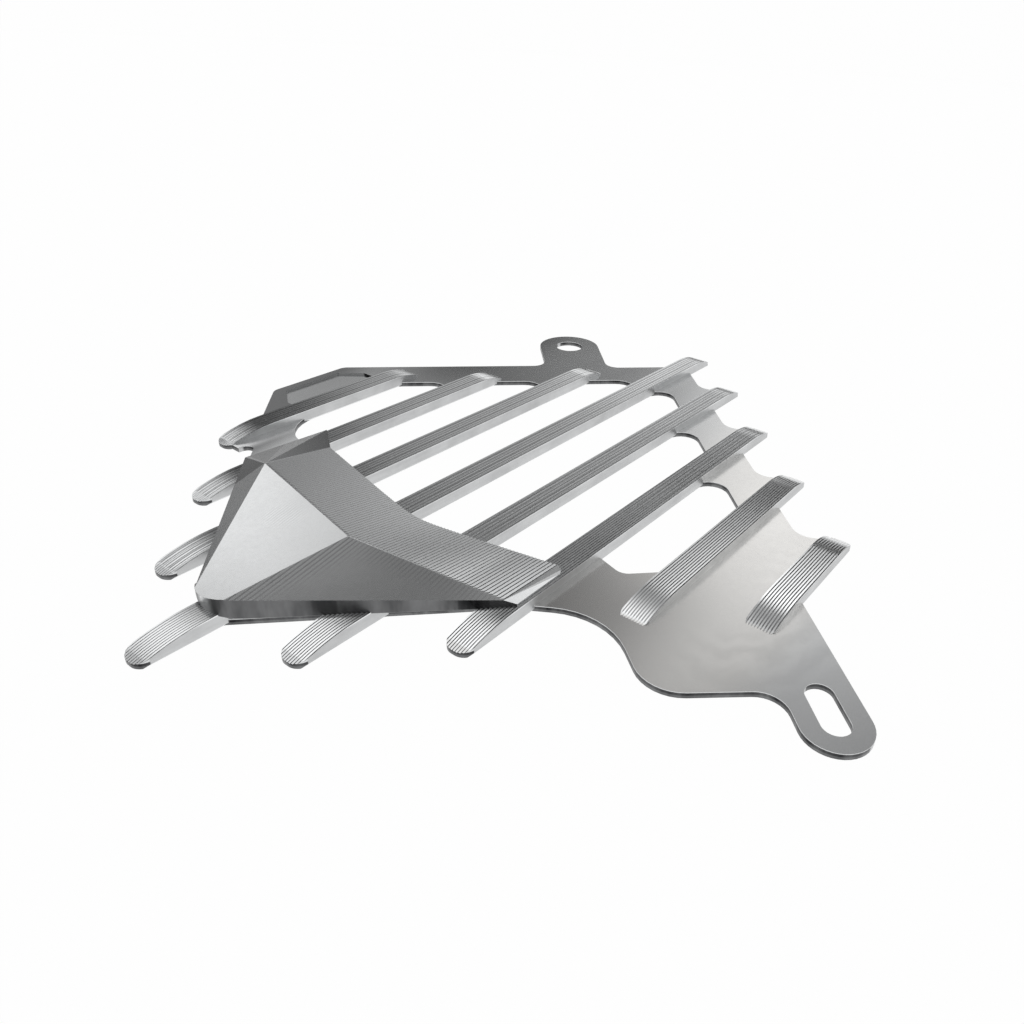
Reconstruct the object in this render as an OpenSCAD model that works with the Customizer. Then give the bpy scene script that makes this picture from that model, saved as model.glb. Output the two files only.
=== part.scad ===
// Motorcycle radiator guard: eight bars on a 45 degree frame, two ears and a faceted beak, all
// machined from one aluminium plate. The back lies on z = 0 and the front faces up.
// The origin is on the back face, under the middle bar (bar 4). Bars run along x, bar 1 is at +y.

/* [Bars] */
// Distance from one bar to the next; the plan of the whole guard follows it
bar_pitch = 26; // [22:0.2:30]
// Width of a bar
bar_w = 8; // [6.8:0.1:9.4]
// Height of a bar above the back face
bar_h = 4.3; // [3.7:0.1:5]
// Thickness left at a bar end
tip_t = 1.3; // [1.1:0.1:1.6]
// Length over which a bar end rolls down on the beak's side
roll_left = 17.5; // [14:0.5:20]
// Length over which a bar end rolls down on the other side
roll_right = 13.5; // [11:0.5:16]
// Distance between the fine grooves along a bar
groove_pitch = 0.8; // [0.7:0.1:1.2]
// Depth of the fine grooves along a bar
groove_d = 0.14; // [0.08:0.02:0.2]

/* [Plate] */
// Thickness of the plate between and around the bars
plate_t = 1.7; // [1.5:0.1:2.4]
// Depth of the recess in the lug
recess_d = 0.8; // [0.5:0.1:1]

/* [Ears] */
// Width of the slot in the lower ear
slot_w = 7; // [6:0.1:8.4]
// Distance between the two ends' centres of the slot
slot_travel = 9; // [7:0.1:10.6]
// Radius of the lower ear's end
ear_low_r = 8.3; // [7:0.1:9.8]
// Diameter of the hole in the upper ear
hole_d = 11.6; // [10:0.1:13.6]
// Radius of the upper ear's end
ear_up_r = 12.7; // [11:0.1:15]

/* [Beak] */
// Height of the light facet above the back face
beak_h = 9.2; // [8:0.1:10.8]
// Height of the outer edge at the far end of the beak
brow_h = 6.3; // [5.6:0.1:7.4]
// Height of the nose's left side
nose_h = 5.4; // [5:0.1:6.4]
// Height of the band's inner edge
band_h = 5.8; // [5.2:0.1:6.6]
// Height of the band's two ends
end_h = 4.9; // [4.6:0.1:5.6]
// Distance between the grooves across the band
band_pitch = 1.07; // [0.9:0.01:1.4]
// Depth of the grooves across the band
band_d = 0.24; // [0.1:0.02:0.3]

/* [Hidden] */
$fn = 64;

ALUMINIUM = [0.80, 0.81, 0.82];
bars = 8;
mid_bar = 4;
arc_steps = 8;

half_w = bar_w / 2;
bar_chamfer = 0.09 * bar_w;
lap = bar_chamfer + 0.02 * bar_w;
tip_r = 0.43 * bar_w;
tall = 3 * bar_h;
teeth = 2 * ceil(bar_w / groove_pitch / 2) + 2;

// Plan sizes in millimetres, from bar pitches
function p(pitches) = pitches * bar_pitch;
function at(x, y, r) = [p(x), p(y), p(r)];

// Reach of the 45 degree edges: where each of them would cross the x axis
tip_reach = p(5.023);
mid_reach = p(4.853);
frame_in = p(3.654);
frame_low = p(4.323);
frame_up = p(4.539);
ear_root = p(4.385);
rim_reach = p(4.17);
beak_reach = p(4.4);
link_reach = p(4.46);
lug_reach = p(4.554);
lug_y = p(3.931);
gap_r = p(0.215);
bay_r = p(0.154);
hook_r = p(0.231);
stub = p(0.248);
near_shift = p(0.011);

function bar_y(k) = bar_pitch * (mid_bar - k) + near_shift * max(0, k - 5);
function upper_side(k) = bar_y(k) + half_w;
function lower_side(k) = bar_y(k) - half_w;
function reach(k) = k == mid_bar ? mid_reach : tip_reach - bar_pitch * abs(mid_bar - k);
left_ends = [for (k = [1:bars])
    k == 1 ? -p(2.055) : k == 7 ? -p(1.723) : k == 8 ? -p(1.066) : -reach(k)];
right_ends = [for (k = [1:bars])
    k == 1 ? p(1.22) : k == 2 ? p(1.99) : k == 3 ? p(3.208) : reach(k)];

// Rounded corner b of a path that comes from a and goes on to c; b holds x, y and the radius.
function flat(v) = [v[0], v[1]];
function unit(v) = v / norm(v);
function turned(d) = d > 180 ? d - 360 : d < -180 ? d + 360 : d;
function on_arc(centre, r, angle) = [centre[0] + r * cos(angle), centre[1] + r * sin(angle)];
function corner(a, b, c) =
    let (u = unit(flat(a) - flat(b)), v = unit(flat(c) - flat(b)), half = acos(u * v) / 2)
    let (m = flat(b) + unit(u + v) * b[2] / sin(half), run = b[2] / tan(half))
    let (s = flat(b) + u * run - m, e = flat(b) + v * run - m)
    let (start = atan2(s[1], s[0]), sweep = turned(atan2(e[1], e[0]) - start))
    [for (i = [0:arc_steps]) on_arc(m, b[2], start + sweep * i / arc_steps)];
function rounded(path) =
    let (n = len(path))
    [for (i = [0:n - 1])
        each path[i][2] == 0 ? [flat(path[i])] : corner(path[(i + n - 1) % n], path[i], path[(i + 1) % n])];
function round_end(centre, r, start, steps) =
    [for (i = [0:steps]) let (q = on_arc(centre, r, start - 180 * i / steps)) [q[0], q[1], 0]];

// The ears: both run at 45 degrees, and their ends are half round.
ear_low = [-p(1.716), -p(5.027)];
ear_up = [p(3.793), p(2)];
ear_low_flank = ear_low[0] - ear_low[1] + ear_low_r * sqrt(2);
ear_up_left = ear_up[0] - ear_up[1] - ear_up_r * sqrt(2);
ear_up_right = ear_up[0] - ear_up[1] + ear_up_r * sqrt(2);

// Outer edge between bars k + 1 and k, on the left under the beak
function left_bay(k) =
    let (y1 = upper_side(k + 1) - lap, y2 = lower_side(k) + lap)
    [
        [abs(y1) - rim_reach - stub, bar_y(k + 1), 0],
        [abs(y1) - rim_reach - stub, y1, 0],
        [abs(y1) - rim_reach, y1, bay_r / 2],
        [abs(y2) - rim_reach, y2, bay_r / 2],
        [abs(y2) - rim_reach - stub, y2, 0],
        [abs(y2) - rim_reach - stub, bar_y(k), 0],
    ];

// Outer edge between bars k and k + 1, on the right
function right_bay(k) =
    let (y1 = lower_side(k) + lap, y2 = upper_side(k + 1) - lap)
    [
        [frame_low + y1 + stub, bar_y(k), 0],
        [frame_low + y1 + stub, y1, 0],
        [frame_low + y1, y1, bay_r],
        [frame_low + y2, y2, hook_r],
        [frame_low + y2 + 2.6 * hook_r, y2, 0],
        [frame_low + y2 + 2.6 * hook_r, bar_y(k + 1), 0],
    ];

outline = concat(
    // lower ear and the curved edge up to the beak
    [
        [lower_side(8) + lap + ear_low_flank + 2 * stub, bar_y(8), 0],
        [lower_side(8) + lap + ear_low_flank + 2 * stub, lower_side(8) + lap, 0],
        [lower_side(8) + lap + ear_low_flank, lower_side(8) + lap, bay_r],
    ],
    round_end(ear_low, ear_low_r, -45, 20),
    [
        at(-1.642, -4.504, 0.268),
        at(-2.403, -3.626, 0.423),
        at(-1.716, -2.743, 0.769),
        [-bar_y(6) - rim_reach, bar_y(6), 0],
    ],
    // rim under the beak
    [for (k = [5:-1:2]) each left_bay(k)],
    // link from bar 2 to bar 1, then the lug
    [
        [bar_y(2) - rim_reach - stub, upper_side(2) - lap, 0],
        [upper_side(2) - lap - link_reach, upper_side(2) - lap, bay_r],
        [p(2.715) - link_reach, p(2.715), 0.6 * bay_r],
        [p(2.715) - link_reach - stub, p(2.729), 0],
        [p(2.715) - link_reach - stub, bar_y(1), 0],
        [bar_y(1) - lug_reach, bar_y(1), 0],
        [lug_y - lug_reach, lug_y, bay_r],
        [frame_up - lug_y, lug_y, bay_r],
        [(frame_up + ear_up_left) / 2, (frame_up - ear_up_left) / 2, 1.3 * bay_r],
    ],
    round_end(ear_up, ear_up_r, 135, 24),
    [
        [(ear_root + ear_up_right) / 2, (ear_root - ear_up_right) / 2, 1.3 * bay_r],
        [ear_root - upper_side(4) + lap, upper_side(4) - lap, bay_r / 2],
        [ear_root - upper_side(4) + lap + stub, upper_side(4) - lap, 0],
        [ear_root - upper_side(4) + lap + stub, bar_y(4), 0],
    ],
    // bays between the bar ends
    [for (k = [4:7]) each right_bay(k)]
);

// Openings between bars k and k + 1: sharp corners get gap_r, blunt ones half of it.
gap_12_x = -p(1.384);
gap_67_x = -p(1.119);
gap_67_y = -p(2.481);
gap_lefts = [
    [
        [gap_12_x, lower_side(1) + lap, p(0.654)],
        [gap_12_x, upper_side(2) - lap, 0],
    ],
    [[-p(1.488), lower_side(2) + lap, 0], [-p(1.488), upper_side(3) - lap, 0]],
    [[-p(1.836), lower_side(3) + lap, 0], [-p(1.836), upper_side(4) - lap, 0]],
    [[-p(1.935), lower_side(4) + lap, 0], [-p(1.935), upper_side(5) - lap, 0]],
    [[-p(1.786), lower_side(5) + lap, 0], [-p(1.786), upper_side(6) - lap, 0]],
    [
        [gap_67_x + gap_r / 2, lower_side(6) + lap, bay_r / 3],
        [gap_67_x, gap_67_y, bay_r],
        [gap_67_x + gap_67_y - upper_side(7) + lap, upper_side(7) - lap, bay_r / 2],
    ],
];
function gap(k) =
    let (y1 = upper_side(k + 1) - lap, y2 = lower_side(k) + lap, below = k >= mid_bar)
    concat(
        [
            [frame_in - abs(y1), y1, below ? gap_r / 2 : 1.2 * gap_r],
            [frame_in - abs(y2), y2, below ? gap_r : gap_r / 2],
        ],
        gap_lefts[k - 1]
    );

module slot_hole() {
    translate(ear_low)
        rotate(45) {
            translate([0, -slot_w / 2])
                square([slot_travel, slot_w]);
            circle(d = slot_w);
            translate([slot_travel, 0])
                circle(d = slot_w);
        }
}

module plate() {
    linear_extrude(height = plate_t)
        difference() {
            polygon(rounded(outline));
            for (k = [1:6])
                polygon(rounded(gap(k)));
            slot_hole();
            translate(ear_up)
                circle(d = hole_d);
        }
}

recess = [
    [-p(0.75), upper_side(1) - lap, 0],
    at(-0.75, 3.45, 0.04),
    at(-0.5, 3.815, 0.04),
    at(0.423, 3.815, 0.04),
    at(0.673, 3.527, 0.04),
    [p(0.673), upper_side(1) - lap, 0],
];

module lug_recess() {
    translate([0, 0, plate_t - recess_d])
        linear_extrude(height = tall)
            polygon(rounded(recess));
}

// Cross-section of the bars' grooved skin: across the bar, height above the back face
function skin(base, shift) = concat(
    [[base + shift, -teeth * groove_pitch / 2]],
    [for (i = [0:2 * teeth]) [bar_h + shift - (i % 2) * groove_d, (i - teeth) * groove_pitch / 2]],
    [[base + shift, teeth * groove_pitch / 2]]
);

// The end rolls down on a large radius, and the grooves go with it.
module roll_end(roll_len) {
    drop = bar_h - tip_t;
    roll_r = (roll_len * roll_len + drop * drop) / (2 * drop);
    translate([0, 0, bar_h - roll_r])
        multmatrix([[0, 1, 0, 0], [0, 0, 1, 0], [1, 0, 0, 0], [0, 0, 0, 1]])
            rotate_extrude(angle = 1.6 * asin(roll_len / roll_r))
                polygon(skin(-bar_h, roll_r - bar_h));
}

module bar_skin(x0, x1) {
    run = x1 - x0 - roll_left - roll_right;
    translate([x0 + roll_left, 0, 0]) {
        multmatrix([[0, 0, 1, 0], [0, 1, 0, 0], [1, 0, 0, 0], [0, 0, 0, 1]])
            mirror([0, 1, 0])
                linear_extrude(height = run)
                    polygon(skin(-bar_h, 0));
        translate([run, 0, 0])
            roll_end(roll_right);
        mirror([1, 0, 0])
            roll_end(roll_left);
    }
}

module bar_plan(x0, x1) {
    translate([x0 + tip_r, -half_w])
        square([x1 - x0 - 2 * tip_r, bar_w]);
    translate([x0, tip_r - half_w])
        square([x1 - x0, bar_w - 2 * tip_r]);
    for (x = [x0 + tip_r, x1 - tip_r])
        for (y = [tip_r - half_w, half_w - tip_r])
            translate([x, y])
                circle(r = tip_r);
}

// Cuts the chamfers along the back edges; wider than the bar, so that it cuts nothing else
module bar_back(x0, x1) {
    wide = half_w + bar_w / 8;
    rise = wide - half_w + bar_chamfer;
    translate([x0 - bar_w / 8, 0, 0])
        rotate([90, 0, 90])
            linear_extrude(height = x1 - x0 + bar_w / 4)
                polygon([
                    [bar_chamfer - half_w, 0],
                    [half_w - bar_chamfer, 0],
                    [wide, rise],
                    [wide, tall],
                    [-wide, tall],
                    [-wide, rise],
                ]);
}

module bar(k) {
    x0 = left_ends[k - 1];
    x1 = right_ends[k - 1];
    translate([0, bar_y(k), 0])
        intersection() {
            translate([0, 0, -bar_h / 4])
                linear_extrude(height = tall)
                    bar_plan(x0, x1);
            bar_back(x0, x1);
            bar_skin(x0, x1);
        }
}

// Beak, seen from above. The ridge runs from the nose to the shoulder, the crown is the facet's far
// corner, and the facet's left edge runs from there to the nose.
nose_r = p(0.52);
nose_x = nose_r * sqrt(2) - p(4.335);
nose_steps = 10;
ridge_step = 8;
ridge_y = -p(0.242);
ridge_angle = 180 - asin(ridge_y / nose_r);
shoulder_x = -p(2.7);
crown = [-p(2.319), p(1.65)];
brow_start = [-p(4.03), p(0.273), mix(nose_h, beak_h, 0.3)];
last_groove = lower_side(6) + 0.41 * bar_w;
low_end = lower_side(6) + 0.12 * bar_w;
high_end = upper_side(2) - 0.06 * bar_w;
cap_base = bar_h - groove_d - 0.05 * bar_h;
front_fall = (beak_h - brow_h) / (ridge_y - last_groove);

function mix(a, b, t) = a + (b - a) * t;
function front_h(y) = beak_h - front_fall * (ridge_y - y);

// The band between the facets and the openings; its inner edge is a soft bend.
bend_x = -p(1.862);
bend_y = -p(0.346);
bend_r = p(0.231);
function band_in(y) =
    bend_x + (y > bend_y ? 0.245 : 0.2) * (norm([y - bend_y, bend_r]) - bend_r);
function band_out(y) =
    y < ridge_y
        ? mix(-last_groove - beak_reach, shoulder_x, (y - last_groove) / (ridge_y - last_groove))
        : mix(shoulder_x, crown[0], (y - ridge_y) / (crown[1] - ridge_y));
function out_h(y) = y < ridge_y ? front_h(y) : beak_h;
function in_h(y) =
    y < ridge_y ? mix(mix(band_h, end_h, 0.4), band_h, (y - last_groove) / (ridge_y - last_groove)) : band_h;
function on_band(y, t, sink) =
    [mix(band_out(y), band_in(y), t), y, mix(out_h(y), in_h(y), t) - sink];

low_grooves = round((ridge_y - last_groove) / band_pitch);
grooves = low_grooves + round((crown[1] - ridge_y) / band_pitch);
function groove_y(j) =
    j < low_grooves
        ? mix(last_groove, ridge_y, j / low_grooves)
        : mix(ridge_y, crown[1], (j - low_grooves) / (grooves - low_grooves));

function nose_angle(i) =
    i < ridge_step
        ? mix(135, ridge_angle, i / ridge_step)
        : mix(ridge_angle, 225, (i - ridge_step) / (nose_steps - ridge_step));
nose = [for (i = [0:nose_steps])
    let (q = on_arc([nose_x, 0], nose_r, nose_angle(i)))
    [q[0], q[1], i > ridge_step ? front_h(q[1]) : mix(nose_h, beak_h, pow(i / ridge_step, 3))]];
crest_out = [for (j = [0:grooves]) on_band(groove_y(j), 0, 0)];
crest_in = [for (j = [0:grooves]) on_band(groove_y(j), 1, 0)];
valley_out = [for (j = [0:grooves - 1]) on_band(groove_y(j + 0.5), 0.05, band_d)];
valley_in = [for (j = [0:grooves - 1]) on_band(groove_y(j + 0.5), 1, band_d)];

// The light facet is slightly twisted: it is made in strips between its left edge and the ridge.
strips = 8;
crown_top = [crown[0], crown[1], beak_h];
shoulder_top = [shoulder_x, ridge_y, beak_h];
left_edge = [for (k = [1:strips - 1]) mix(crown_top, brow_start, k / strips)];
ridge = [for (k = [1:strips - 1]) mix(shoulder_top, nose[ridge_step], k / strips)];
low_in = band_in(last_groove);
ends = [
    [-low_end - beak_reach, low_end, end_h],
    [low_in - bar_w / 3, low_end, end_h],
    [low_in - bar_w / 12, mix(low_end, last_groove, 0.35), end_h],
    [-p(1.1), high_end, end_h],
    [high_end - beak_reach, high_end, brow_h],
    brow_start,
];

// Places of each group in the list of points
i_out = nose_steps + 1;
i_in = i_out + grooves + 1;
i_deep_out = i_in + grooves + 1;
i_deep_in = i_deep_out + grooves;
i_ends = i_deep_in + grooves;
i_high = i_ends + 3;
i_brow = i_ends + 5;
i_left = i_ends + 5;
i_ridge = i_left + strips;
i_base = i_ridge + strips - 1;
i_crown = i_out + grooves;
i_shoulder = i_out + low_grooves;
function left_place(k) = k == 0 ? i_crown : k == strips ? i_brow : i_left + k;
function ridge_place(k) = k == 0 ? i_shoulder : k == strips ? ridge_step : i_ridge + k - 1;
top_points = concat(nose, crest_out, crest_in, valley_out, valley_in, ends, left_edge, ridge);
ring = concat(
    [for (i = [0:nose_steps]) i],
    [i_out, i_ends, i_ends + 1, i_ends + 2],
    [for (j = [0:grooves - 1]) each [i_in + j, i_deep_in + j]],
    [i_in + grooves, i_high, i_high + 1]
);
n_ring = len(ring);
cap_points = concat(top_points, [for (i = ring) [top_points[i][0], top_points[i][1], cap_base]]);

cap_faces = concat(
    // brow, nose and light facet, front facet
    [for (i = [0:ridge_step - 1]) [i_brow, i + 1, i]],
    [[i_brow, 0, i_high + 1]],
    [for (k = [0:strips - 1]) [i_high + 1, left_place(k), left_place(k + 1)]],
    [for (j = [low_grooves:grooves - 1]) [left_place(1), i_out + j + 1, i_out + j]],
    [[left_place(1), i_shoulder, ridge_place(1)]],
    [for (k = [1:strips - 1])
        each [
            [left_place(k + 1), left_place(k), ridge_place(k)],
            [left_place(k + 1), ridge_place(k), ridge_place(k + 1)],
        ]],
    [for (k = [0:strips - 1]) [i_shoulder - 1, ridge_place(k + 1), ridge_place(k)]],
    [for (j = [0:low_grooves - 2]) [ridge_step, i_out + j + 1, i_out + j]],
    [for (i = [ridge_step:nose_steps - 1]) [i_out, i + 1, i]],
    // the band's two ends
    [
        [i_crown, i_high, i_in + grooves],
        [i_crown, i_high + 1, i_high],
        [i_out, i_ends + 1, i_ends],
        [i_out, i_ends + 2, i_ends + 1],
        [i_out, i_in, i_ends + 2],
    ],
    // grooves across the band
    [for (j = [0:grooves - 1])
        let (a = i_out + j, b = i_in + j, c = i_deep_out + j, d = i_deep_in + j)
        each [[a, a + 1, c], [a, c, b], [c, d, b], [c, b + 1, d], [c, a + 1, b + 1]]],
    // wall and underside
    [for (i = [0:n_ring - 1])
        let (next = (i + 1) % n_ring)
        each [[ring[i], ring[next], i_base + next], [ring[i], i_base + next, i_base + i]]],
    [[for (i = [0:n_ring - 1]) i_base + i]]
);

module beak_cap() {
    polyhedron(points = cap_points, faces = cap_faces);
}

// Core under the beak: it stands back from the wall, and a little from the band's inner edge.
core_steps = 12;
module beak_core() {
    linear_extrude(height = cap_base + 0.02 * bar_h)
        polygon(concat(
            [
                [0.97 * -rim_reach, 0],
                [-bar_y(6) - rim_reach, bar_y(6)],
            ],
            [for (i = [0:core_steps])
                let (y = mix(bar_y(6), crown[1], i / core_steps))
                [band_in(y) - 0.05 * bar_w, y]],
            [
                [-p(1.24), bar_y(2)],
                [bar_y(2) - rim_reach, bar_y(2)],
            ]
        ));
}

module radiator_guard() {
    color(ALUMINIUM)
        union() {
            difference() {
                plate();
                lug_recess();
            }
            beak_core();
            for (k = [1:bars])
                bar(k);
            beak_cap();
        }
}

radiator_guard();
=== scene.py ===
import math
import bmesh
import bpy
from mathutils import Matrix, Vector


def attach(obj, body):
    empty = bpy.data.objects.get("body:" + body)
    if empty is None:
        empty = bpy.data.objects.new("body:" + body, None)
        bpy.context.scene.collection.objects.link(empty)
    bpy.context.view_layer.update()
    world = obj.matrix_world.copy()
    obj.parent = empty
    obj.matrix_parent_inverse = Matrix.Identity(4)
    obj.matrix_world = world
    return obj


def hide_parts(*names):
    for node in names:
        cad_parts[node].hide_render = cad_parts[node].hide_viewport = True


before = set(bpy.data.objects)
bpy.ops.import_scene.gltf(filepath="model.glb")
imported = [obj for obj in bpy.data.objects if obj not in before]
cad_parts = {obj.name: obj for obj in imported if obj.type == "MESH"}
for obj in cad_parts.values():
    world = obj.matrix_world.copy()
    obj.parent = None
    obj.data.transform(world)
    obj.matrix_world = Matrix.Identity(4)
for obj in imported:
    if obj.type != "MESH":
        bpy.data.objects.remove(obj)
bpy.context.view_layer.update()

bl_info = {
    "name": "Radiator guard",
    "version": (1, 0, 0),
    "blender": (4, 5, 0),
    "location": "View3D > Sidebar > Guard",
    "description": "Finishes a machined radiator guard and sets up a plain studio round it",
    "category": "Object",
}

MM = 0.001
NODE = "radiator_guard"


def mm(*values):
    """Millimetres as metres."""
    return tuple(value * MM for value in values)


# Sizes of the solid, in metres from the middle of bar 4 and from the back face
PLATE_TOP, BAR_TOP, BEAK_TOP = mm(1.7, 4.3, 9.2)
BAR_PITCH, TIP_REACH, BEAK_REACH = mm(26, 126.6, 112)
NEAR_SHIFT = 0.286 * MM
CAP_BASE = 3.95 * MM
SHOULDER = mm(-70.2, -6.3)
CROWN = mm(-60.29, 42.9)
CREST_BEND = 0.1868
CREST_LEAN = 0.0147
NOSE_CENTRE = mm(-93.59, 0)
NOSE_R = 13.52 * MM
NOSE_CORNER = mm(-104.54, 7.1)
NOSE_LOW = 6.54 * MM
RECESS_MIDDLE = -1 * MM

# Angles under which neighbouring faces blend, and how far a face's normal has to point up for them
CURVE_ANGLE = math.radians(14)
TIP_ANGLE = math.radians(40)
FACET_ANGLE = math.radians(3.5)
STEEP_FACE, TIP_FACE, FACET_FACE = 0.3, 0.6, 0.75

# Parts of the mesh that are touched up, in metres
TOUCH = 0.05 * MM
MERGE = 0.001 * MM
ROLLED_TIP_X, RIM_X, RIM_Y = mm(-101, -102, 9)
ROLLED_TIP_Y = mm(-6, 6.9)
RIM_LIFT, FACET_LIFT, CREST_GAP = mm(0.5, 0.6, -0.02)
HOOK_Y = mm(-0.2, 3.4)
HOOK_OUT, HOOK_IN, HOOK_TOP = mm(3.9, 3.6, 1.2)
HOOKED_BARS = range(1, 5)

# Soft borders by facing: where the step lies and its half width
STEEP = (0.35, 0.05)
LEVEL = (0.9, 0.05)
SQUARE_ON = (0.985, 0.008)
FACES_AWAY = (0.10, 0.05)
FACES_CAMERA = (-0.2, 0.1)
TILTED = (0.96, 0.02)

# Soft borders by height: where the step lies and its half width, in metres
CAP_FOOT = (CAP_BASE, 0.1 * MM)
BEAK_FOOT = (BAR_TOP + 0.25 * MM, 0.1 * MM)
BAR_FOOT = (PLATE_TOP + 0.3 * MM, 0.1 * MM)
PLATE_SKIN = (PLATE_TOP + 0.15 * MM, 0.05 * MM)
EDGE_FOOT = (PLATE_TOP * 0.45, 0.1 * MM)
EDGE_CORNER = (PLATE_TOP - 0.2 * MM, 0.05 * MM)
FLANK_CORNER = (BAR_TOP - 0.35 * MM, 0.15 * MM)
LUG_RIM = mm(1.3, 0.2)
RECESS_FLOOR = mm(0.85, 0.05)

# Soft borders in plan, the same way; slanted ones are measured along y with a share of x
BEAK_RIM = (BEAK_REACH - 3 * MM, 1 * MM)
RIDGE = (SHOULDER[1], 0.05 * MM)
BEHIND_CROWN = (CROWN[1] + 0.3 * MM, 0.3 * MM)
BAND_EDGE, FRONT_EDGE, SPOT_EDGE = mm(0.3, 0.3), mm(-0.2, 0.1), mm(-1, 0.5)
HATCH_RIDGE, HATCH_CREST = mm(-5.5, 4), mm(-5, 4)
# The band's painted shade: where its groove shade fades, and where its far part and its low end are painted
# darker
BAND_SHADE_FADE, FAR_BAND, LOW_BAND = mm(40, 22), mm(30, 30), mm(-40, 3)
BAND_SLANT, FAR_BARS_SLANT, LUG_SLANT = -0.2, 0.5, -0.5
FAR_BARS = mm(-50, 8)
FAR_FRAME = mm(62, 14)
LUG_SIDE, LUG_FOOT = mm(86, 10), mm(60, 8)
FOOT_END, FOOT_NEAR, FOOT_FAR = mm(-22, 6), mm(69, 2.5), mm(78, 2)
RECESS_NEAR, RECESS_FAR, RECESS_HALF = mm(80, 1), mm(99.6, 0.3), mm(19.5, 0.3)
LEFT_END, LEFT_NEAR, LEFT_FAR = mm(-26, 20), mm(-84, 14), mm(40, 20)
WARM_FAR, WARM_NEAR, EAR_NECK = mm(-45, 25), mm(-112, 8), mm(-110, 12)
ARC_INNER, ARC_OUTER, ARC_SIDE = mm(12, 6), mm(30, 9), mm(-96, 9)
SPOT_SIZE = mm(5.5, 3)
BROW_STEP = (0.0, 4 * MM * MM)

# Lines and arcs of the cutter, and the painted shade lines on the far bars' grooves: angles in degrees,
# pitches in metres, rates in radians
RIDGE_ANGLE, RIDGE_PITCH, RIDGE_SHAPE = 12, 1.22 * MM, (0.35, 0.45)
SPOT_ANGLE, SPOT_PITCH = 14, 0.9 * MM
BAR_LINES = 20
BAR_LINE_PITCH, BAR_LINE_SHAPE = BAR_PITCH / BAR_LINES, (0.3, 0.5)
FACET_SPOT = mm(-74, 15)
EAR_TURN = mm(-22, -94)
ARC_RATE, ARC_SWAY, ARC_FLOOR = 900.0, 26.0, 0.4
BLOCK_STEP = (0.56, 0.02)

# Noises of the finish: scale, detail, roughness, and stretch along x, y and z
NOISES = {
    "cloud": (24.0, 4.0, 0.6, (1.0, 1.6, 1.0)),
    "grain": (900.0, 2.0, 0.6, (1.0, 1.0, 1.0)),
    "streak": (45.0, 3.0, 0.6, (1.0, 6.0, 12.0)),
    "stain": (110.0, 3.0, 0.6, (1.0, 1.0, 1.0)),
    "patch": (190.0, 3.0, 0.65, (1.0, 1.0, 0.3)),
    "block": (80.0, 0.0, 0.5, (1.0, 1.0, 0.05)),
}

# How strongly each mark lightens or darkens the bare metal; the bar lines, the groove shares and the lug's
# floor share set painted shade
BARE = 0.94
CLOUD_TINT, ARC_TINT, SPOT_TINT, STREAK_TINT = 0.14, 0.05, 0.05, 0.10
HATCH_TINT, BAR_LINE_TINT = 0.35, 0.42
HATCH_BAND_SHARE = 0.5
HATCH_BASE, HATCH_STAIN, STAIN_FLOOR = 0.55, 0.9, 0.2
# Painted groove shade: less on the far bars, more on the band, and least at the band's far end
FAR_BAR_RELIEF, BAND_GROOVE_SHADE = 0.7, 1.35
LEAST_BAND_SHADE = 0.25
LUG_FLOOR_SHARE = 2 / 7
WARM_SHARE = 0.7

# Brightness of the upright faces, kept below the tops as painted shade, and what their stains, patches and
# corners add; the bright corners and the recess wall are painted highlights
FLANK, FLANK_STAIN, FLANK_STREAK, FLANK_TOP_HIGHLIGHT = 0.66, 0.3, 0.2, 0.15
EDGE, EDGE_PATCH, EDGE_FOOT_LIGHT, EDGE_TOP_HIGHLIGHT, RECESS_HIGHLIGHT = 0.07, 0.45, 0.10, 0.75, 0.8
WALL, WALL_PATCH, WALL_BLOCK = 0.15, 0.3, 0.08

# Roughness and relief: what each adds, and how much smoother the bars and the beak are
CLOUD_ROUGH, GRAIN_ROUGH, UPRIGHT_ROUGH, BAR_POLISH = 0.10, 0.06, 0.14, 0.06
GRAIN_HEIGHT, HATCH_DEPTH, SMOOTH_BARS, SMOOTH_BEAK = 0.5, 0.8, 0.8, 0.7
BUMP_STRENGTH, BUMP_HEIGHT = 0.12, 0.05 * MM

# Painted shade: the share of its light that each darker region loses in its colour
LOSS = {
    "far_frame": 0.45,
    "lug": 0.7,
    "wedge": 0.4,
    "back_slope": 0.55,
    "far_band": 0.3,
    "band_end": 0.25,
    "left_plate": 0.34,
    "near_ear": 0.26,
}


class Sock:
    """Wraps a shader socket, so that maths on it reads as plain Python."""

    def __init__(self, tree, out):
        self.tree = tree
        self.out = out

    def _math(self, operation, *values):
        return add_node(self.tree, "ShaderNodeMath", {"operation": operation}, *values)

    def __add__(self, other):
        return self._math("ADD", self, other)

    def __radd__(self, other):
        return self._math("ADD", other, self)

    def __sub__(self, other):
        return self._math("SUBTRACT", self, other)

    def __rsub__(self, other):
        return self._math("SUBTRACT", other, self)

    def __mul__(self, other):
        return self._math("MULTIPLY", self, other)

    def __rmul__(self, other):
        return self._math("MULTIPLY", other, self)

    def __abs__(self):
        return self._math("ABSOLUTE", self)

    def sine(self):
        return self._math("SINE", self)

    def root(self):
        return self._math("SQRT", self)

    def or_more(self, other):
        return self._math("MAXIMUM", self, other)

    def above(self, edge, soft):
        """0 below the edge, 1 above it, with a soft step."""
        return add_node(
            self.tree,
            "ShaderNodeMapRange",
            {"interpolation_type": "SMOOTHSTEP"},
            Value=self,
            From_Min=edge - soft,
            From_Max=edge + soft,
        )

    def below(self, edge, soft):
        return 1.0 - self.above(edge, soft)


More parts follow.
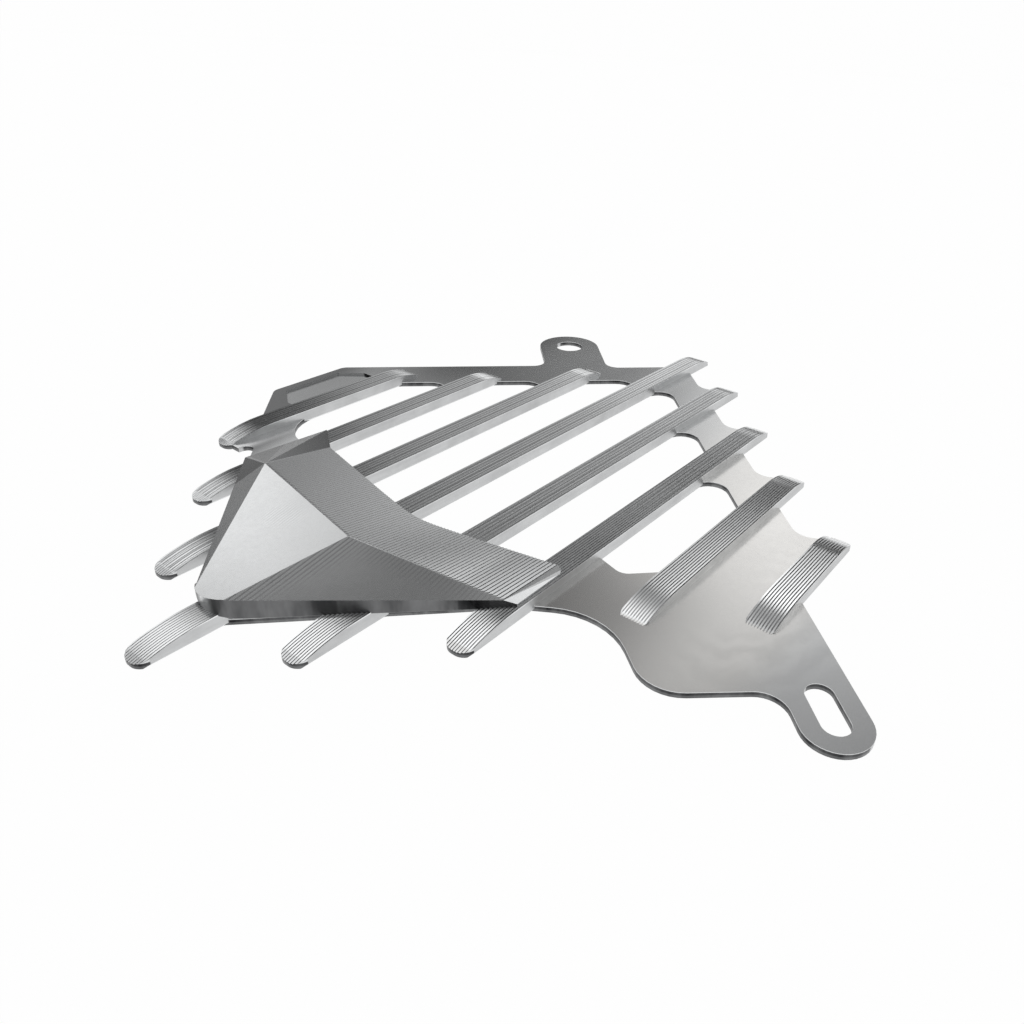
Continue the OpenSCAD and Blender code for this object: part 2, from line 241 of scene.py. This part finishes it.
def add_node(tree, kind, settings=None, *values, output=0, **named):
    """Adds a node; values fill its inputs in order, with None for one left alone, named ones by name."""
    node = tree.nodes.new(kind)
    for key, value in (settings or {}).items():
        setattr(node, key, value)
    pairs = list(enumerate(values)) + [(key.replace("_", " "), value) for key, value in named.items()]
    for key, value in pairs:
        if isinstance(value, Sock):
            tree.links.new(value.out, node.inputs[key])
        elif value is not None:
            node.inputs[key].default_value = value
    return Sock(tree, node.outputs[output])


def split(vector):
    """The three parts of a vector."""
    parts = add_node(vector.tree, "ShaderNodeSeparateXYZ", None, vector)
    return [Sock(vector.tree, out) for out in parts.out.node.outputs]


def mix_colour(tree, factor, first, second):
    unused = [None] * 5
    return add_node(
        tree, "ShaderNodeMix", {"data_type": "RGBA"}, factor, *unused, first, second, output=2
    )


def noise(vector, scale, detail, roughness, stretch):
    tree = vector.tree
    place = add_node(tree, "ShaderNodeMapping", None, Vector=vector, Scale=stretch)
    return add_node(
        tree, "ShaderNodeTexNoise", None, Vector=place, Scale=scale, Detail=detail, Roughness=roughness
    )


def new_material(name):
    material = bpy.data.materials.new(name)
    material.use_nodes = True
    tree = material.node_tree
    tree.nodes.clear()
    out = tree.nodes.new("ShaderNodeOutputMaterial")
    return material, tree, out


def beyond_crest(x, y):
    """How far a place lies past the bent crest, on the band's side; works on numbers and sockets."""
    along = y - SHOULDER[1]
    return x - SHOULDER[0] - abs(along) * CREST_BEND - along * CREST_LEAN


def past_brow(x, y):
    """Above 0 on the far side of the line from the crown to the nose's corner, below 0 on the near side."""
    run_x, run_y = NOSE_CORNER[0] - CROWN[0], NOSE_CORNER[1] - CROWN[1]
    return (x - CROWN[0]) * run_y - (y - CROWN[1]) * run_x


class Surface:
    """A point of the guard's surface: its place, its facing, the regions it is in, and its noises."""

    def __init__(self, tree):
        self.tree = tree
        self.place = add_node(tree, "ShaderNodeTexCoord", output="Object")
        self.x, self.y, self.z = split(self.place)
        facing = add_node(tree, "ShaderNodeTexCoord", output="Normal")
        _, self.ny, self.nz = split(facing)
        self.past_crest = beyond_crest(self.x, self.y)
        self.up_band = self.y + BAND_SLANT * self.x
        self.find_regions()
        self.noises = {name: noise(self.place, *look) for name, look in NOISES.items()}

    def find_regions(self):
        x, y, z = self.x, self.y, self.z
        self.upright = abs(self.nz).below(*STEEP)
        self.flank = self.upright * abs(self.ny).above(*SQUARE_ON)
        self.wall = self.upright * z.above(*CAP_FOOT) * (abs(x) + abs(y)).above(*BEAK_RIM)
        self.cut_edge = self.upright * (1.0 - self.flank) * (1.0 - self.wall)
        self.plate = z.below(*PLATE_SKIN) * abs(self.nz).above(*LEVEL)
        self.beak = z.above(*BEAK_FOOT) * (1.0 - self.upright)
        self.bar_top = (1.0 - self.upright) * (1.0 - self.beak) * z.above(*BAR_FOOT)
        self.far_bars = self.bar_top * (y + FAR_BARS_SLANT * x).above(*FAR_BARS)
        self.band = self.beak * self.past_crest.above(*BAND_EDGE)
        self.past_ridge = y.below(*RIDGE)
        self.far_side = self.ny.above(*FACES_AWAY)
        self.beside_bar = x.below(*FOOT_END) * y.above(*FOOT_NEAR) * y.below(*FOOT_FAR)

    def spread(self, name):
        """A noise about its middle: below 0 where it is dark, above 0 where it is light."""
        return self.noises[name] - 0.5

    def distance(self, centre):
        """Distance in plan from a point of the plate."""
        dx, dy = self.x - centre[0], self.y - centre[1]
        return (dx * dx + dy * dy).root()

    def lines(self, angle, pitch):
        """Fine parallel lines of a cutter: -1 to 1 across each line."""
        turn = math.radians(angle)
        across = self.y * math.cos(turn) - self.x * math.sin(turn)
        return (across * (2 * math.pi / pitch)).sine()


def ear_arcs(on):
    """Faint arcs round the near ear, swayed by the clouds."""
    reach = on.distance(EAR_TURN)
    cloud = on.noises["cloud"]
    arc = (reach * ARC_RATE + cloud * ARC_SWAY).sine()
    zone = reach.above(*ARC_INNER) * reach.below(*ARC_OUTER) * on.plate * on.y.below(*ARC_SIDE)
    return arc * zone * (cloud + ARC_FLOOR)


def ridge_hatch(on):
    """Lines on the front facet, beside the ridge and, fainter, beside the band."""
    front = on.beak * on.past_ridge * on.past_crest.below(*FRONT_EDGE)
    near_ridge = (on.y - SHOULDER[1]).above(*HATCH_RIDGE)
    near = near_ridge.or_more(on.past_crest.above(*HATCH_CREST) * HATCH_BAND_SHARE)
    worn = HATCH_BASE + HATCH_STAIN * (on.noises["stain"] - STAIN_FLOOR)
    return front * near * on.lines(RIDGE_ANGLE, RIDGE_PITCH).above(*RIDGE_SHAPE) * worn


def facet_spot(on):
    """A faint patch of lines on the light facet."""
    zone = on.beak * on.distance(FACET_SPOT).below(*SPOT_SIZE) * (1.0 - on.past_ridge)
    return zone * on.past_crest.below(*SPOT_EDGE) * on.lines(SPOT_ANGLE, SPOT_PITCH)


def painted_groove_shade(on):
    """Painted shade on the grooves' far sides, stronger towards the near end of the band."""
    shade_fade = LEAST_BAND_SHADE + (1 - LEAST_BAND_SHADE) * on.up_band.below(*BAND_SHADE_FADE)
    return on.far_side * (on.bar_top - FAR_BAR_RELIEF * on.far_bars + BAND_GROOVE_SHADE * on.band * shade_fade)


def painted_shade_regions(on):
    """Regions painted darker in colour, as shade where they miss the studio's light, under their names in
    LOSS.
    """
    x, y, plate = on.x, on.y, on.plate
    elsewhere = 1.0 - on.beside_bar
    lug = elsewhere * plate * (y + LUG_SLANT * x).above(*LUG_SIDE) * y.above(*LUG_FOOT)
    return {
        "far_frame": plate * y.above(*FAR_FRAME) * elsewhere,
        "lug": lug * (LUG_FLOOR_SHARE + (1 - LUG_FLOOR_SHARE) * on.z.above(*LUG_RIM)),
        "wedge": on.beak * past_brow(x, y).above(*BROW_STEP) * (1.0 - on.past_ridge),
        "back_slope": on.beak * y.above(*BEHIND_CROWN),
        "far_band": on.band * on.up_band.above(*FAR_BAND),
        "band_end": on.band * (1.0 - on.far_side) * on.nz.below(*TILTED) * y.below(*LOW_BAND),
        "left_plate": plate * x.below(*LEFT_END) * y.above(*LEFT_NEAR) * y.below(*LEFT_FAR),
        "near_ear": plate * y.below(*EAR_NECK),
    }


def top_tone(on, hatch, finish):
    """Brightness of the faces that point up, with cutter marks, painted groove shade and the painted shade
    of the darker regions.
    """
    tone = BARE + CLOUD_TINT * on.spread("cloud") * (1.0 - on.beak)
    tone = tone + ARC_TINT * ear_arcs(on) + SPOT_TINT * facet_spot(on) - HATCH_TINT * hatch
    tone = tone + STREAK_TINT * on.spread("streak") * on.bar_top
    # Painted lines of groove shade on the far bars, where the real grooves are too fine to show
    groove_shade_lines = on.far_bars * on.lines(0, BAR_LINE_PITCH).above(*BAR_LINE_SHAPE)
    tone = tone - finish.groove_shade * painted_groove_shade(on) - BAR_LINE_TINT * groove_shade_lines
    for name, region in painted_shade_regions(on).items():
        tone = tone * (1.0 - LOSS[name] * region)
    return tone


def flank_tone(on):
    """Brightness of the bars' flanks: painted darker than the tops as shade, stained, with a painted
    highlight along the top corner.
    """
    shaded_and_stained = FLANK + FLANK_STAIN * on.spread("stain") + FLANK_STREAK * on.spread("streak")
    return shaded_and_stained + FLANK_TOP_HIGHLIGHT * on.z.above(*FLANK_CORNER)


def edge_tone(on):
    """Brightness of the plate's cut edges: painted dark as shade and mottled, with painted highlights on the
    top corner and on the recess wall.
    """
    recess_wall = on.y.above(*RECESS_NEAR) * on.y.below(*RECESS_FAR) * on.ny.below(*FACES_CAMERA)
    recess_wall = recess_wall * abs(on.x - RECESS_MIDDLE).below(*RECESS_HALF) * on.z.above(*RECESS_FLOOR)
    shaded_and_mottled = EDGE + EDGE_FOOT_LIGHT * on.z.below(*EDGE_FOOT) + EDGE_PATCH * on.spread("patch")
    return shaded_and_mottled + RECESS_HIGHLIGHT * recess_wall + EDGE_TOP_HIGHLIGHT * on.z.above(*EDGE_CORNER)


def wall_tone(on):
    """Brightness of the beak's upright front: painted dark as shade, with patches and darker upright blocks.
    """
    return WALL + WALL_PATCH * on.spread("patch") - WALL_BLOCK * on.noises["block"].above(*BLOCK_STEP)


def machined_aluminium(finish):
    material, tree, out = new_material("machined_aluminium")
    on = Surface(tree)
    hatch = ridge_hatch(on)

    tone = top_tone(on, hatch, finish) * (1.0 - on.upright)
    tone = tone + flank_tone(on) * on.flank + edge_tone(on) * on.cut_edge + wall_tone(on) * on.wall
    warm = WARM_SHARE * (on.plate * on.y.below(*WARM_FAR) * on.y.above(*WARM_NEAR))
    metal = mix_colour(tree, warm, (*finish.cool, 1.0), (*finish.metal, 1.0))
    # The tone mixes from the shadow colour up to the metal, so it carries painted shade and painted
    # highlights as well as cutter marks and stains
    colour = mix_colour(tree, tone, (*finish.shadow, 1.0), metal)

    rough = finish.roughness + CLOUD_ROUGH * on.spread("cloud") + GRAIN_ROUGH * on.spread("grain")
    rough = rough + UPRIGHT_ROUGH * on.upright - BAR_POLISH * on.bar_top
    grain = GRAIN_HEIGHT * on.noises["grain"] * (1.0 - SMOOTH_BARS * on.bar_top)
    height = grain * (1.0 - SMOOTH_BEAK * on.beak) - HATCH_DEPTH * hatch
    bump = add_node(
        tree, "ShaderNodeBump", None, Strength=BUMP_STRENGTH, Distance=BUMP_HEIGHT, Height=height
    )
    shader = add_node(
        tree, "ShaderNodeBsdfPrincipled", None, Base_Color=colour, Metallic=1.0, Roughness=rough, Normal=bump
    )
    tree.links.new(shader.out, out.inputs["Surface"])
    return material


def smooth_angle(edge):
    """The angle under which two faces blend: small on the beak's facets, larger on curved walls."""
    place = sum((vert.co for vert in edge.verts), Vector()) / 2
    upward = [abs(face.normal.z) for face in edge.link_faces]
    if place.z < BAR_TOP + TOUCH or max(upward) < STEEP_FACE:
        return CURVE_ANGLE
    at_tip = place.x < ROLLED_TIP_X and ROLLED_TIP_Y[0] < place.y < ROLLED_TIP_Y[1]
    return TIP_ANGLE if at_tip and min(upward) > TIP_FACE else FACET_ANGLE


def lift_nose_rim(form):
    """Carries the light facet down to the rim of the rounded nose in one plane."""
    for vert in form.verts:
        at_rim = abs((vert.co.xy - Vector(NOSE_CENTRE)).length - NOSE_R) < TOUCH
        if at_rim and vert.co.x < RIM_X and vert.co.y < RIM_Y and vert.co.z > CAP_BASE + RIM_LIFT:
            part = min(1.0, (NOSE_CORNER[1] - vert.co.y) / (NOSE_CORNER[1] - SHOULDER[1]))
            rise = NOSE_LOW + part * (BEAK_TOP - NOSE_LOW) - vert.co.z
            bmesh.ops.translate(form, verts=[vert], vec=(0.0, 0.0, rise))


def trim_hooks(form):
    """Draws the plate's small hooks in under the rounded right tips of the four lower bars."""
    for row in HOOKED_BARS:
        centre = Vector((TIP_REACH - BAR_PITCH * row, -BAR_PITCH * row + NEAR_SHIFT * (row - 1)))
        for vert in form.verts:
            out = vert.co.xy - centre
            in_hook = out.x > 0 and HOOK_Y[0] < out.y < HOOK_Y[1] and vert.co.z < PLATE_TOP + TOUCH
            if in_hook and out.length > HOOK_OUT:
                place = centre + out.normalized() * HOOK_IN
                height = min(vert.co.z, HOOK_TOP)
                bmesh.ops.translate(form, verts=[vert], vec=Vector((*place, height)) - vert.co)


def facet_of(face):
    """Names the flat facet of the beak that a face belongs to, or gives None."""
    if face.normal.z < FACET_FACE or face.center.z < CAP_BASE + FACET_LIFT:
        return None
    x, y = face.center.x, face.center.y
    if beyond_crest(x, y) > CREST_GAP or y > CROWN[1]:
        return None
    if y < SHOULDER[1]:
        return "front"
    return "wedge" if past_brow(x, y) > 0 else "light"


def even_facets(mesh):
    """Gives each flat facet one shading normal, so that its thin triangles shine as one plane."""
    facets = {face.index: facet_of(face) for face in mesh.polygons}
    means = {}
    for face in mesh.polygons:
        name = facets[face.index]
        if name:
            means[name] = means.get(name, Vector()) + face.normal * face.area
    normals = [corner.vector.copy() for corner in mesh.corner_normals]
    for face in mesh.polygons:
        if facets[face.index]:
            for loop in face.loop_indices:
                normals[loop] = means[facets[face.index]].normalized()
    mesh.normals_split_custom_set(normals)


def merged_copy(node, name):
    """A copy of a CAD node with its points merged and smooth shading across gentle angles."""
    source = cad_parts[node]
    mesh = source.data.copy()
    mesh.name = name
    form = bmesh.new()
    form.from_mesh(mesh)
    bmesh.ops.remove_doubles(form, verts=form.verts, dist=MERGE)
    lift_nose_rim(form)
    trim_hooks(form)
    form.normal_update()
    for face in form.faces:
        face.smooth = True
    for edge in form.edges:
        edge.smooth = len(edge.link_faces) == 2 and edge.calc_face_angle(0.0) < smooth_angle(edge)
    form.to_mesh(mesh)
    form.free()
    even_facets(mesh)
    piece = bpy.data.objects.new(name, mesh)
    bpy.context.scene.collection.objects.link(piece)
    return piece


def colour_property(name, description, default):
    return bpy.props.FloatVectorProperty(
        name=name, description=description, default=default, subtype="COLOR", size=3, min=0.0, max=1.0
    )


class GuardFinish(bpy.types.PropertyGroup):
    metal: colour_property("Metal", "Colour of the bare aluminium on the lower plate", (0.88, 0.86, 0.83))
    cool: colour_property("Cool metal", "Colour of the bare aluminium elsewhere", (0.85, 0.86, 0.865))
    # Dark end of every tone: painted shade as well as the darkest cutter marks
    shadow: colour_property("Shadow", "Colour of the darkest cutter marks", (0.02, 0.02, 0.022))
    roughness: bpy.props.FloatProperty(
        name="Roughness", description="Roughness of the machined faces", default=0.24, min=0.05, max=1.0
    )
    # Strength of the painted shade on the grooves' far sides
    groove_shade: bpy.props.FloatProperty(
        name="Groove shade", description="How dull the far sides of the grooves are", default=0.6, min=0.0
    )


class StudioSettings(bpy.types.PropertyGroup):
    camera_place: bpy.props.FloatVectorProperty(
        name="Camera place",
        description="Where the camera stands",
        default=(-0.1807, -0.1593, 0.1278),
        subtype="TRANSLATION",
        unit="LENGTH",
        size=3,
    )
    yaw: bpy.props.FloatProperty(
        name="Yaw", description="Turn of the view from +X towards +Y", default=0.602272, subtype="ANGLE"
    )
    dip: bpy.props.FloatProperty(
        name="Dip", description="How far the view points down", default=0.54169, subtype="ANGLE"
    )
    roll: bpy.props.FloatProperty(
        name="Roll", description="Roll of the camera about its view", default=0.058824, subtype="ANGLE"
    )
    lens: bpy.props.FloatProperty(
        name="Lens", description="Focal length on a 36 mm sensor, in millimetres", default=29.05
    )
    shift: bpy.props.FloatProperty(
        name="Shift", description="Sideways shift of the photograph's framing", default=-0.0815
    )
    floor_size: bpy.props.FloatProperty(
        name="Floor", description="Width of the round floor", default=6.0, unit="LENGTH"
    )


# The camera's sensor in millimetres, and what it can see in metres
SENSOR_WIDTH = 36.0
NEAREST, FARTHEST = 0.01, 50.0


def add_camera(stage):
    yaw, dip, roll = stage.yaw, stage.dip, stage.roll
    ahead = Vector((math.cos(yaw) * math.cos(dip), math.sin(yaw) * math.cos(dip), -math.sin(dip)))
    right = Vector((math.sin(yaw), -math.cos(yaw), 0.0))
    above = right.cross(ahead)
    side = math.cos(roll) * right + math.sin(roll) * above
    top = math.cos(roll) * above - math.sin(roll) * right
    turn = Matrix((side, top, -ahead)).transposed().to_4x4()
    lens = bpy.data.cameras.new("camera")
    lens.sensor_width = SENSOR_WIDTH
    lens.lens = stage.lens
    lens.shift_x = stage.shift
    lens.clip_start = NEAREST
    lens.clip_end = FARTHEST
    camera = bpy.data.objects.new("camera", lens)
    camera.matrix_world = Matrix.Translation(Vector(stage.camera_place)) @ turn
    bpy.context.scene.collection.objects.link(camera)
    bpy.context.scene.camera = camera


# The floor: the share of white that cameras and reflections see, the grey that catches shadows,
# the rise of its rim as a share of its width, and the number of its sides
WHITE_SHARE = 0.985
FLOOR_GREY = 0.9
FLOOR_RISE = 1 / 18
FLOOR_SIDES = 96


def floor_material():
    material, tree, out = new_material("studio_floor")
    camera_ray = add_node(tree, "ShaderNodeLightPath", output="Is Camera Ray")
    rays = camera_ray.out.node.outputs
    seen = camera_ray.or_more(Sock(tree, rays["Is Glossy Ray"])).or_more(
        Sock(tree, rays["Is Transmission Ray"])
    )
    matt = add_node(tree, "ShaderNodeBsdfDiffuse", None, Color=(FLOOR_GREY, FLOOR_GREY, FLOOR_GREY, 1.0))
    white = add_node(tree, "ShaderNodeEmission", None, Color=(1.0, 1.0, 1.0, 1.0), Strength=1.0)
    share = add_node(tree, "ShaderNodeMixShader", None, WHITE_SHARE * seen, matt, white)
    tree.links.new(share.out, out.inputs["Surface"])
    return material


# Soft boxes of the studio: azimuth and height in degrees, half width in degrees, level
SOFT_BOXES = (
    (-30, 25, 10.5, 0.9),
    (-20, 41, 11, 1.45),
    (-58, 24, 12, 0.8),
    (-28, 60, 15, 0.3),
    (15, 25, 10.5, 0.85),
    (20, 41, 11, 0.42),
    (30, 25, 10.5, 0.2),
    (40, 41, 11, 0.1),
    (60, 25, 10.5, 0.75),
    (75, 25, 10.5, 0.55),
    (84, 52, 9, 1.0),
    (0, 88, 18, 1.2),
    (225, 35, 40, 0.45),
)
# Where a soft box starts to fade and where it ends, as shares of its half width
BOX_CORE, BOX_FRINGE = 0.4, 1.5
ROOM_LEVEL = 0.04


def soft_box(way, azimuth, height, spread, level):
    """Light of one soft box in a direction."""
    dx, dy, dz = way
    a, e = math.radians(azimuth), math.radians(height)
    near = dx * (math.cos(a) * math.cos(e)) + dy * (math.sin(a) * math.cos(e)) + dz * math.sin(e)
    inner, outer = (math.cos(math.radians(spread * share)) for share in (BOX_CORE, BOX_FRINGE))
    return level * near.above((inner + outer) / 2, (inner - outer) / 2)


def studio_world():
    world = bpy.data.worlds.new("studio")
    world.use_nodes = True
    tree = world.node_tree
    tree.nodes.clear()
    out = tree.nodes.new("ShaderNodeOutputWorld")
    way = split(add_node(tree, "ShaderNodeTexCoord", output="Generated"))
    light = sum((soft_box(way, *box) for box in SOFT_BOXES), ROOM_LEVEL)
    back = add_node(tree, "ShaderNodeBackground", None, Color=(1.0, 1.0, 1.0, 1.0), Strength=light)
    tree.links.new(back.out, out.inputs["Surface"])
    bpy.context.scene.world = world


def make_guard(finish):
    piece = merged_copy(NODE, "guard")
    piece.data.materials.clear()
    piece.data.materials.append(machined_aluminium(finish))
    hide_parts(NODE)
    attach(piece, "root")


def make_floor(size):
    """A pale round floor whose rim sweeps up a little, all round the guard."""
    form = bmesh.new()
    bmesh.ops.create_circle(form, cap_ends=True, segments=FLOOR_SIDES, radius=size / 2)
    rim = [edge for edge in form.edges if edge.is_boundary]
    made = bmesh.ops.extrude_edge_only(form, edges=rim)
    raised = [item for item in made["geom"] if isinstance(item, bmesh.types.BMVert)]
    bmesh.ops.translate(form, verts=raised, vec=(0.0, 0.0, size * FLOOR_RISE))
    bmesh.ops.recalc_face_normals(form, faces=form.faces)
    mesh = bpy.data.meshes.new("floor")
    form.to_mesh(mesh)
    form.free()
    floor = bpy.data.objects.new("floor", mesh)
    mesh.materials.append(floor_material())
    bpy.context.scene.collection.objects.link(floor)


def make_studio(stage):
    make_floor(stage.floor_size)
    studio_world()
    add_camera(stage)
    bpy.context.scene.view_settings.view_transform = "Standard"


class GUARD_OT_piece(bpy.types.Operator):
    """Give the machined guard its finish"""

    bl_idname = "guard.piece"
    bl_label = "Radiator guard"

    def execute(self, context):
        make_guard(context.scene.guard_finish)
        return {"FINISHED"}


class GUARD_OT_studio(bpy.types.Operator):
    """Set up the floor, the light and the camera"""

    bl_idname = "guard.studio"
    bl_label = "Studio"

    def execute(self, context):
        make_studio(context.scene.guard_studio)
        return {"FINISHED"}


class GUARD_PT_panel(bpy.types.Panel):
    """Lists the guard's operators and settings"""

    bl_idname = "GUARD_PT_panel"
    bl_label = "Radiator guard"
    bl_space_type = "VIEW_3D"
    bl_region_type = "UI"
    bl_category = "Guard"

    def draw(self, context):
        column = self.layout.column()
        for name in GuardFinish.__annotations__:
            column.prop(context.scene.guard_finish, name)
        column.operator(GUARD_OT_piece.bl_idname)
        for name in StudioSettings.__annotations__:
            column.prop(context.scene.guard_studio, name)
        column.operator(GUARD_OT_studio.bl_idname)


CLASSES = (GuardFinish, StudioSettings, GUARD_OT_piece, GUARD_OT_studio, GUARD_PT_panel)


def register():
    for kind in CLASSES:
        bpy.utils.register_class(kind)
    bpy.types.Scene.guard_finish = bpy.props.PointerProperty(type=GuardFinish)
    bpy.types.Scene.guard_studio = bpy.props.PointerProperty(type=StudioSettings)


def unregister():
    del bpy.types.Scene.guard_studio
    del bpy.types.Scene.guard_finish
    for kind in reversed(CLASSES):
        bpy.utils.unregister_class(kind)


def main():
    register()
    bpy.ops.guard.piece()
    bpy.ops.guard.studio()


if __name__ == "__main__":
    main()
